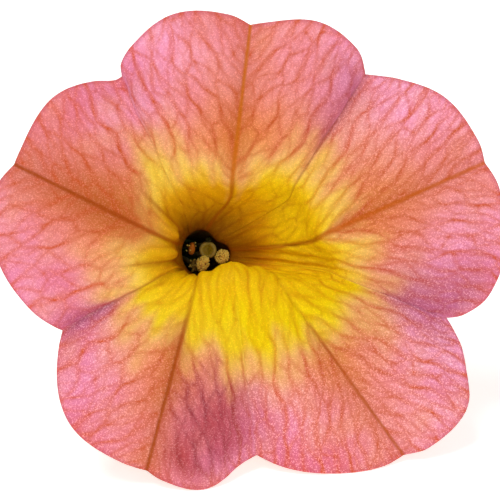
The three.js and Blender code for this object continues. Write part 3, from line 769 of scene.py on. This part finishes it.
# ---- Pistil ----
# A green ovary at the foot of the tube, a thin pale style up its middle, and a moist stigma like
# a button with a cleft across it, all grown as one.
OVARY_AND_STYLE = [(0.35, -21.5), (0.68, -21.2), (0.76, -20.7), (0.66, -20.0), (0.3, -19.4),
                   (0.2, -18.6), (0.17, -16.0), (0.16, -13.0), (0.17, -10.0), (0.2, -6.8)]
STIGMA = [(0.3, -6.35), (0.48, -6.1), (0.58, -5.88), (0.6, -5.7), (0.53, -5.57), (0.42, -5.53),
          (0.3, -5.59), (0.16, -5.63), (0.03, -5.64)]
STIGMA_CENTRE = (0.14, 0.2)
OVARY_GREEN, STYLE_PALE = linear("#8fa352"), linear("#cfc98a")
STIGMA_RIM, STIGMA_OLIVE = linear("#ac9440"), linear("#8e7404")


def tube_axis(heights):
    """The middle of the tube at given heights."""
    knots = [centre[2] for centre, _ in TUBE_RINGS]
    centres = np.array([centre[:2] for centre, _ in TUBE_RINGS])
    return curve_weights(knots, np.clip(heights, knots[0], knots[-1])) @ centres


def smooth_run(points, count):
    """Points evenly shared out along a smooth curve through the given ones."""
    return curve_weights(np.arange(len(points)), np.linspace(0, len(points) - 1, count)) @ np.array(points)


def pistil_shell():
    """A profile turned round the tube's axis, which leans over to the stigma's own place. Round
    the stigma the radius dips at both ends of its cleft, and the cleft is a soft groove."""
    body, head = smooth_run(OVARY_AND_STYLE, 70), smooth_run(STIGMA, 36)
    radius, height = np.concatenate([body, head]).T
    stigma = (np.arange(len(radius)) >= len(body))[:, None]
    turn = np.linspace(0, 2 * np.pi, 48, endpoint=False)
    centre = tube_axis(height)
    lean = smooth_step(-11, -6.2, height)[:, None]
    centre = centre * (1 - lean) + np.array(STIGMA_CENTRE) * lean
    notched = radius[:, None] * (1 - 0.12 * stigma * bell(np.cos(turn), 0.35))
    x, y = notched * np.cos(turn), notched * np.sin(turn)
    cleft = 0.08 * stigma * bell(x, 0.1) * smooth_step(-5.8, -5.55, height)[:, None]
    z = height[:, None] - cleft + 0.0 * x
    loops = np.stack([centre[:, :1] + x, centre[:, 1:] + y, z], axis=-1)
    tint = blend_colours(OVARY_GREEN, STYLE_PALE, smooth_step(-19.6, -18.4, z))
    olive = blend_colours(STIGMA_RIM, STIGMA_OLIVE, 1 - smooth_step(0.28, 0.5, notched))
    tint = np.where(stigma[..., None], olive, tint)
    moist = np.where(stigma, 1.0, 0.0) + 0 * x
    return loops_shell(loops, tint=tint, moist=moist)


def pistil_material():
    """Living tissue: matt on ovary and style, and on the stigma wet with the clear film that
    holds the pollen, which gives it small sharp highlights."""
    material, tree = new_material("stigma_and_style")
    tint = node(tree, "ShaderNodeAttribute", attribute_name="tint").outputs["Color"]
    moist = node(tree, "ShaderNodeAttribute", attribute_name="moist").outputs["Fac"]
    place = node(tree, "ShaderNodeTexCoord").outputs["Object"]
    pimples = node(tree, "ShaderNodeTexVoronoi", {"Vector": place, "Scale": 9000.0})
    shade = node(tree, "ShaderNodeMapRange",
                 {0: pimples.outputs["Distance"], 1: 0.0, 2: 0.8, 3: 1.15, 4: 0.75})
    colour = node(tree, "ShaderNodeVectorMath", {0: tint, "Scale": shade.outputs[0]}, operation="SCALE")
    rough = node(tree, "ShaderNodeMapRange", {0: moist, 1: 0.0, 2: 1.0, 3: 0.55, 4: 0.32})
    bump = node(tree, "ShaderNodeBump", {"Height": pimples.outputs["Distance"], "Strength": 0.5,
                                         "Distance": 0.00006}, invert=True)
    surface = node(tree, "ShaderNodeBsdfPrincipled", {
        "Base Color": colour.outputs[0], "Roughness": rough.outputs[0], "Specular IOR Level": 0.15,
        "Subsurface Weight": 0.2, "Subsurface Radius": (1.0, 0.8, 0.3), "Subsurface Scale": 0.0003,
        "Normal": bump.outputs[0]})
    node(tree, "ShaderNodeOutputMaterial", {0: surface.outputs[0]})
    return material


make_piece("pistil_body", [pistil_shell()], pistil_material(), "pistil")

# ---- Stamens ----
# Five pale filaments stand round the style. Each carries an anther of two sacs. Two have burst
# and are covered with cream pollen. The others are still shut, with a few stray grains on two
# of them, and one is turning brown.
FILAMENT_TURN, FILAMENT_FOOT, FILAMENT_WAIST = -13.0, (0.8, -18.5), (0.78, -13.0)
SAC_WIDTH, SAC_DEPTH, SAC_HALF_LENGTH = 0.36, 0.28, 0.45
FILAMENT_COLOUR, POLLEN_COLOUR = linear("#c9bd7c"), linear("#ffda60")
# Each anther's place, the way it points, its colour and its number of pollen grains.
ANTHERS = [
    ((1.14, -0.24, -5.6), (0.9, 0.5, 1.0), "#e0aa4c", 190),
    ((0.15, 0.75, -10.2), (0.0, -0.2, 1.0), "#8c8340", 0),
    ((-0.98, 0.3, -6.4), (0.15, 0.8, 0.7), "#c8700c", 6),
    ((-0.78, -0.9, -7.2), (-0.3, 0.5, 0.8), "#a88a34", 24),
    ((-0.2, -0.72, -5.5), (-0.6, -0.9, 1.0), "#e0aa4c", 190),
]
GRAIN_RADIUS = 0.065


def across_of(direction):
    """Two unit vectors square to each direction and to each other."""
    helper = np.where(np.abs(direction[..., :1]) < 0.8, (1.0, 0.0, 0.0), (0.0, 1.0, 0.0))
    first = np.cross(direction, helper)
    first /= np.linalg.norm(first, axis=-1, keepdims=True)
    return first, np.cross(direction, first)


def path_loops(path, radius, around):
    """Circles of the given radii round the points of a path, square to it."""
    direction = np.gradient(path, axis=0)
    direction /= np.linalg.norm(direction, axis=-1, keepdims=True)
    first, second = across_of(direction)
    turn = np.linspace(0, 2 * np.pi, around, endpoint=False)[None, :, None]
    ring = first[:, None] * np.cos(turn) + second[:, None] * np.sin(turn)
    return path[:, None] + np.asarray(radius)[:, None, None] * ring


def copies_shell(points, triangles, **fields):
    """Many copies of one small closed form: points has a row of corners for each copy."""
    count, corners = points.shape[:2]
    faces = (triangles[None] + corners * np.arange(count)[:, None, None]).reshape(-1, 3)
    fields = {key: np.broadcast_to(values, (count * corners, len(values)))
              for key, values in fields.items()}
    return points.reshape(-1, 3), [faces], fields


GOLDEN = (1 + 5**0.5) / 2
GRAIN_CORNERS = np.array([(-1, GOLDEN, 0), (1, GOLDEN, 0), (-1, -GOLDEN, 0), (1, -GOLDEN, 0),
                          (0, -1, GOLDEN), (0, 1, GOLDEN), (0, -1, -GOLDEN), (0, 1, -GOLDEN),
                          (GOLDEN, 0, -1), (GOLDEN, 0, 1), (-GOLDEN, 0, -1), (-GOLDEN, 0, 1)])
GRAIN_CORNERS /= np.linalg.norm(GRAIN_CORNERS[0])
GRAIN_FACES = np.array([(0, 11, 5), (0, 5, 1), (0, 1, 7), (0, 7, 10), (0, 10, 11),
                        (1, 5, 9), (5, 11, 4), (11, 10, 2), (10, 7, 6), (7, 1, 8),
                        (3, 9, 4), (3, 4, 2), (3, 2, 6), (3, 6, 8), (3, 8, 9),
                        (4, 9, 5), (2, 4, 11), (6, 2, 10), (8, 6, 7), (9, 8, 1)])


def stamen_shells(index):
    """A filament along a smooth path up the tube; an anther whose section is two lobes, the
    radius drawn in along a furrow on both sides; and round pollen grains on its outer side."""
    tip, pointing, sac_colour, grain_count = ANTHERS[index]
    turn = np.radians(FILAMENT_TURN + 72 * index)
    way = np.array([np.cos(turn), np.sin(turn)])
    feet = [(*(tube_axis([height])[0] + radius * way), height)
            for radius, height in (FILAMENT_FOOT, FILAMENT_WAIST)]
    tip = np.array(tip)
    path = smooth_run([*feet, tip - (0, 0, 1.6 * SAC_HALF_LENGTH), tip], 40)
    stalk = path_loops(path, np.linspace(0.17, 0.12, 40), 12)
    shells = [loops_shell(stalk, tint=np.broadcast_to(FILAMENT_COLOUR, (*stalk.shape[:2], 4)))]

    axis = np.array(pointing) / np.linalg.norm(pointing)
    first, second = across_of(axis)
    down = np.linspace(np.pi - 0.05, 0.05, 24)[:, None]
    around = np.linspace(0, 2 * np.pi, 36, endpoint=False)
    girth = np.sin(down) ** 0.8 * (1 - 0.34 * bell(np.cos(around), 0.4))
    sac = (tip + SAC_HALF_LENGTH * np.cos(down)[..., None] * axis
           + (SAC_WIDTH * girth * np.cos(around))[..., None] * first
           + (SAC_DEPTH * girth * np.sin(around))[..., None] * second)
    furrow = bell(np.cos(around), 0.3) * np.ones_like(down)
    sac_tint = blend_colours(linear(sac_colour), linear("#6b4a22"), 0.5 * furrow)
    shells.append(loops_shell(sac, tint=sac_tint))

    draw = np.random.default_rng(20 + index)
    ways = draw.normal(size=(grain_count * 3, 3))
    ways /= np.linalg.norm(ways, axis=-1, keepdims=True)
    ways = ways[ways[:, 2] > -0.35][:grain_count]
    stretch = draw.uniform(0.92, 1.32, (len(ways), 1))
    centres = tip + stretch * (SAC_HALF_LENGTH * (ways @ axis)[:, None] * axis
                               + SAC_WIDTH * (ways @ first)[:, None] * first
                               + SAC_DEPTH * (ways @ second)[:, None] * second * 1.15)
    sizes = GRAIN_RADIUS * draw.uniform(0.75, 1.2, (len(ways), 1, 1))
    shells.append(copies_shell(centres[:, None] + sizes * GRAIN_CORNERS, GRAIN_FACES, tint=POLLEN_COLOUR))
    return shells


def stamen_material():
    """Dry, powdery pollen and soft filament: matt, with a mottling of its cells, and light that
    shines a little way through."""
    material, tree = new_material("pollen_and_filament")
    tint = node(tree, "ShaderNodeAttribute", attribute_name="tint").outputs["Color"]
    place = node(tree, "ShaderNodeTexCoord").outputs["Object"]
    mottle = node(tree, "ShaderNodeTexNoise", {"Vector": place, "Scale": 5000.0, "Detail": 3.0})
    mottle = mottle.outputs["Fac"]
    shade = node(tree, "ShaderNodeMapRange", {0: mottle, 1: 0.3, 2: 0.7, 3: 0.82, 4: 1.2}).outputs[0]
    colour = node(tree, "ShaderNodeVectorMath", {0: tint, "Scale": shade}, operation="SCALE").outputs[0]
    bump = node(tree, "ShaderNodeBump", {"Height": mottle, "Strength": 0.5, "Distance": 0.00004}).outputs[0]
    surface = node(tree, "ShaderNodeBsdfPrincipled", {
        "Base Color": colour, "Roughness": 0.75, "Specular IOR Level": 0.3, "Subsurface Weight": 0.25,
        "Subsurface Radius": (1.0, 0.7, 0.4), "Subsurface Scale": 0.0002, "Normal": bump})
    node(tree, "ShaderNodeOutputMaterial", {0: surface.outputs[0]})
    return material


pollen_and_filament = stamen_material()
for number in range(len(ANTHERS)):
    make_piece(f"stamen_{number + 1}_body", stamen_shells(number), pollen_and_filament,
               f"stamen_{number + 1}")

# ---- Calyx ----
# A short green cup with five narrow sepals that stand along the tube and part from it at their
# blunt tips. Cup and sepals are one leafy tissue, set with short sticky hairs.
CALYX_AXIS = (-1.5, 0.0)
CUP = [(0.9, -23.3), (1.55, -23.0), (2.1, -22.4), (2.3, -21.6), (2.33, -20.9), (2.2, -20.62),
       (2.0, -20.6), (1.88, -20.8), (1.85, -21.3), (1.8, -21.75), (0.4, -21.8)]
SEPAL_TURN = -13.0
SEPAL_HALF_WIDTH = 1.05
# Along each sepal: the radius and height of its middle, and its share of the full width.
SEPAL_PATH = [(2.1, -21.6, 0.5), (2.25, -19.6, 0.75), (2.65, -16.8, 1.0), (3.1, -14.4, 0.9),
              (3.5, -12.9, 0.62), (3.68, -12.4, 0.12)]
LEAF_GREEN, LEAF_PALE, LEAF_DEEP = linear("#7c9a45"), linear("#a9bd6c"), linear("#55762e")
STALK_GREEN, CUT_PALE = linear("#86a04c"), linear("#d6d8a4")


def cup_shell(around):
    """A profile of radius and height turned round the tube's axis. Its rim climbs, as a raised
    half cosine, into the foot of each sepal and thins out in it. Ten paler ribs run on into the
    sepals' edges and middles."""
    radius, height = smooth_run(CUP, 60).T[:, :, None]
    turn = np.linspace(0, 2 * np.pi, around, endpoint=False)
    at_sepal = (np.cos(5 * (turn - np.radians(SEPAL_TURN))) * 0.5 + 0.5) ** 1.5
    climbing = at_sepal * smooth_step(-21.8, -20.7, height)
    radius = radius * (1 - 0.05 * climbing)
    loops = np.stack([CALYX_AXIS[0] + radius * np.cos(turn), CALYX_AXIS[1] + radius * np.sin(turn),
                      height + 0.9 * climbing], axis=-1)
    rib = np.broadcast_to(np.cos(10 * (turn - np.radians(SEPAL_TURN))) * 0.5 + 0.5, loops.shape[:2])
    paler = 0.5 * rib**4 + 0.12 * drift(loops, 1.5, 31)
    return loops_shell(loops, tint=blend_colours(LEAF_GREEN, LEAF_PALE, paler))


def sepal_shell(turn):
    """A blade whose section is a thin lens bent round the tube, with a keel along its middle and
    a finer vein on each side."""
    radius, height, share = smooth_run(SEPAL_PATH, 44).T[:, :, None]
    half_width = SEPAL_HALF_WIDTH * share
    around = np.linspace(0, 2 * np.pi, 40, endpoint=False)
    side, depth = np.cos(around), np.sin(around)
    keel = bell(side, 0.12) + 0.4 * bell(np.abs(side) - 0.5, 0.1)
    thick = 0.17 * np.sign(depth) * np.abs(depth) ** 0.7
    outward = radius + thick + 0.09 * keel * (depth > 0) - 0.28 * side**2 * half_width
    on_blade = np.stack(np.broadcast_arrays(side, height, turn), axis=-1)
    outward = outward + 0.05 * drift(on_blade, 1.2, 33)
    across = half_width * side
    loops = np.stack([CALYX_AXIS[0] + outward * np.cos(turn) - across * np.sin(turn),
                      CALYX_AXIS[1] + outward * np.sin(turn) + across * np.cos(turn),
                      height + 0 * side], axis=-1)
    tint = blend_colours(LEAF_GREEN, LEAF_PALE, np.clip(0.8 * keel + 0 * height, 0, 1))
    tint = blend_colours(tint, LEAF_DEEP, np.clip(0.35 + 0.3 * drift(loops, 1.2, 34) - 0.3 * keel, 0, 1))
    tint = blend_colours(tint, LEAF_PALE, 0.45 * (depth < 0) + 0 * height)
    return loops_shell(loops, tint=tint)


def hairs_shell(loops, count, seed, length):
    """Short hairs that stand on a grid of loops, each a slim three-sided cone that bends a little
    and ends in a tiny drop. They grow at random points, square to the surface."""
    draw = np.random.default_rng(seed)
    rows = draw.integers(1, loops.shape[0] - 1, count)
    columns = draw.integers(0, loops.shape[1], count)
    ahead = loops[rows + 1, columns] - loops[rows, columns]
    beside = loops[rows, (columns + 1) % loops.shape[1]] - loops[rows, columns]
    root = loops[rows, columns] + draw.random((count, 1)) * ahead + draw.random((count, 1)) * beside
    out = np.cross(beside, ahead)
    out /= np.maximum(np.linalg.norm(out, axis=-1, keepdims=True), 1e-9)
    out = out + 0.35 * draw.normal(size=out.shape)
    out /= np.linalg.norm(out, axis=-1, keepdims=True)
    first, second = across_of(out)
    reach = (length * draw.uniform(0.6, 1.2, count))[:, None, None]
    steps = np.array([-0.1, 0.45, 0.9, 1.0, 1.08])[None, :, None]
    girth = np.array([0.03, 0.018, 0.01, 0.034, 0.002])[None, :, None, None]
    spine = root[:, None] + reach * (steps * out[:, None] + 0.25 * steps**2 * first[:, None])
    turn = np.radians([0, 120, 240])[None, None, :, None]
    ring = first[:, None, None] * np.cos(turn) + second[:, None, None] * np.sin(turn)
    corners = (spine[:, :, None] + girth * ring).reshape(count, -1, 3)
    wall = [(3 * row + side, 3 * row + (side + 1) % 3, 3 * row + 3 + side)
            for row in range(4) for side in range(3)]
    wall += [(3 * row + (side + 1) % 3, 3 * row + 3 + (side + 1) % 3, 3 * row + 3 + side)
             for row in range(4) for side in range(3)]
    return copies_shell(corners, np.array([*wall, (2, 1, 0), (12, 13, 14)]), tint=linear("#e6ecc8"))


def green_material():
    """Living stalk and sepal: soft green tissue under a thin waxy skin, finely mottled, with
    light that shines through its edges."""
    material, tree = new_material("leafy_green")
    tint = node(tree, "ShaderNodeAttribute", attribute_name="tint").outputs["Color"]
    place = node(tree, "ShaderNodeTexCoord").outputs["Object"]
    mottle = node(tree, "ShaderNodeTexNoise", {"Vector": place, "Scale": 2600.0, "Detail": 4.0})
    mottle = mottle.outputs["Fac"]
    cells = node(tree, "ShaderNodeTexVoronoi", {"Vector": place, "Scale": 7000.0}).outputs["Distance"]
    shade = node(tree, "ShaderNodeMapRange", {0: mottle, 1: 0.3, 2: 0.7, 3: 0.8, 4: 1.15}).outputs[0]
    colour = node(tree, "ShaderNodeVectorMath", {0: tint, "Scale": shade}, operation="SCALE").outputs[0]
    bump = node(tree, "ShaderNodeBump", {"Height": cells, "Strength": 0.35, "Distance": 0.00005},
                invert=True).outputs[0]
    surface = node(tree, "ShaderNodeBsdfPrincipled", {
        "Base Color": colour, "Roughness": 0.5, "Specular IOR Level": 0.4, "Subsurface Weight": 0.2,
        "Subsurface Radius": (0.6, 1.0, 0.2), "Subsurface Scale": 0.0004, "Normal": bump})
    node(tree, "ShaderNodeOutputMaterial", {0: surface.outputs[0]})
    return material


def shell_loops(shell, around):
    """The grid of loops that a shell was made from."""
    points = shell[0]
    return points[:len(points) // around * around].reshape(-1, around, 3)


leafy_green = green_material()
cup_around, sepal_around = 80, 40
cup = cup_shell(cup_around)
calyx_shells = [cup, hairs_shell(shell_loops(cup, cup_around)[:28], 150, 41, 0.4)]
for number in range(5):
    sepal = sepal_shell(np.radians(SEPAL_TURN + 72 * number))
    calyx_shells += [sepal, hairs_shell(shell_loops(sepal, sepal_around)[4:], 130, 42 + number, 0.45)]
make_piece("calyx_cup_and_sepals", calyx_shells, leafy_green, "calyx")

# ---- Pedicel ----
# The thin green stalk that bore the bloom. It widens and grows into the calyx, bends down to
# the surface and ends in a fresh, pale cut.
PEDICEL_START, PEDICEL_BEND = (-1.55, 0.0, -22.75), (-1.0, 1.0, -28.0)
PEDICEL_END_X, PEDICEL_END_Z = 1.2, -32.6
PEDICEL_RADIUS, PEDICEL_HEAD_RADIUS = 0.55, 1.45
FLAT_SPOT_DEPTH = 0.15

end_level = PEDICEL_RADIUS * np.cos(FACE_ELEVATION) - FLAT_SPOT_DEPTH
end_at_zero = to_rest((PEDICEL_END_X, 0, PEDICEL_END_Z))[2] / MILLIMETRE
pedicel_end = (PEDICEL_END_X, (end_level - end_at_zero) / FACE_TO_REST[2, 1], PEDICEL_END_Z)
pedicel_around, pedicel_rows = 32, 90
pedicel_path = smooth_run([pedicel_end, PEDICEL_BEND, PEDICEL_START], pedicel_rows)
pedicel_share = np.linspace(0, 1, pedicel_rows)
pedicel_radius = PEDICEL_RADIUS + (PEDICEL_HEAD_RADIUS - PEDICEL_RADIUS) * pedicel_share**9
pedicel_turn = np.linspace(0, 2 * np.pi, pedicel_around, endpoint=False)
pedicel_loops = path_loops(pedicel_path, pedicel_radius, pedicel_around)
furrows = (1 + 0.04 * np.cos(5 * pedicel_turn + 1.5) + 0.02 * drift(pedicel_loops, 1.0, 51))[..., None]
pedicel_loops = pedicel_path[:, None] + (pedicel_loops - pedicel_path[:, None]) * furrows
cut_shares = np.array([0.25, 0.6, 0.86, 0.97])[:, None, None]
cut_loops = pedicel_loops[0].mean(axis=0) + cut_shares * (pedicel_loops[0] - pedicel_loops[0].mean(axis=0))
stalk_tint = blend_colours(STALK_GREEN, LEAF_DEEP, np.clip(0.3 + 0.3 * drift(pedicel_loops, 1.2, 52), 0, 1))
cut_tint = blend_colours(CUT_PALE, LEAF_PALE, np.broadcast_to(cut_shares[..., 0] ** 6, cut_loops.shape[:2]))
pedicel_shell = loops_shell(np.concatenate([cut_loops, pedicel_loops]),
                            tint=np.concatenate([cut_tint, stalk_tint]))
make_piece("pedicel_stalk", [pedicel_shell, hairs_shell(pedicel_loops, 420, 53, 0.42)],
           leafy_green, "pedicel")

# ---- Surface, light and camera ----
# The bloom lies on plain white card under one large soft light from above and a weak one in
# front. The camera looks straight into the bloom's face from some way off.
FRAME_WIDTH = 34.0
FRAME_CENTRE = (3.06, 0.2, 0.0)
CAMERA_DISTANCE = 300.0


def look_from(place, target):
    """The matrix of a camera or light at a place that looks at a target, both in metres."""
    direction = Vector(target) - Vector(place)
    return Matrix.Translation(place) @ direction.to_track_quat("-Z", "Y").to_matrix().to_4x4()


floor_mesh = bpy.data.meshes.new("card")
half_card = 1.5
floor_mesh.from_pydata([(-half_card, -half_card, 0), (half_card, -half_card, 0),
                        (half_card, half_card, 0), (-half_card, half_card, 0)], [], [(0, 1, 2, 3)])
floor = bpy.data.objects.new("card", floor_mesh)
bpy.context.scene.collection.objects.link(floor)
card_material, card_tree = new_material("white_card")
card_surface = node(card_tree, "ShaderNodeBsdfPrincipled", {
    "Base Color": linear("#fbfbfa"), "Roughness": 0.8, "Specular IOR Level": 0.2,
    "Emission Color": (1, 1, 1, 1), "Emission Strength": 0.5})
node(card_tree, "ShaderNodeOutputMaterial", {0: card_surface.outputs[0]})
floor_mesh.materials.append(card_material)

world = bpy.data.worlds.new("studio")
world.use_nodes = True
world.node_tree.nodes["Background"].inputs[0].default_value = (1, 1, 1, 1)
world.node_tree.nodes["Background"].inputs[1].default_value = 0.4
bpy.context.scene.world = world
bpy.context.scene.view_settings.view_transform = "Standard"

throat = to_rest((0, 0, 0))
for name, place, size, power in (("key_light", (-300, 680, 500), 0.5, 4.05),
                                 ("front_light", (220, -60, 850), 0.6, 2.05)):
    lamp = bpy.data.lights.new(name, "AREA")
    lamp.shape = "DISK"
    lamp.size = size
    lamp.energy = power
    holder = bpy.data.objects.new(name, lamp)
    holder.matrix_world = look_from(to_rest(place), throat)
    bpy.context.scene.collection.objects.link(holder)

camera_data = bpy.data.cameras.new("camera")
camera_data.sensor_width = 36.0
camera_data.lens = camera_data.sensor_width * CAMERA_DISTANCE / FRAME_WIDTH
camera_data.clip_start = 0.01
camera = bpy.data.objects.new("camera", camera_data)
placed_camera = Matrix(FACE_TO_REST.tolist()).to_4x4()
placed_camera.translation = to_rest(np.add(FRAME_CENTRE, (0, 0, CAMERA_DISTANCE)))
camera.matrix_world = placed_camera
bpy.context.scene.collection.objects.link(camera)
bpy.context.scene.camera = camera
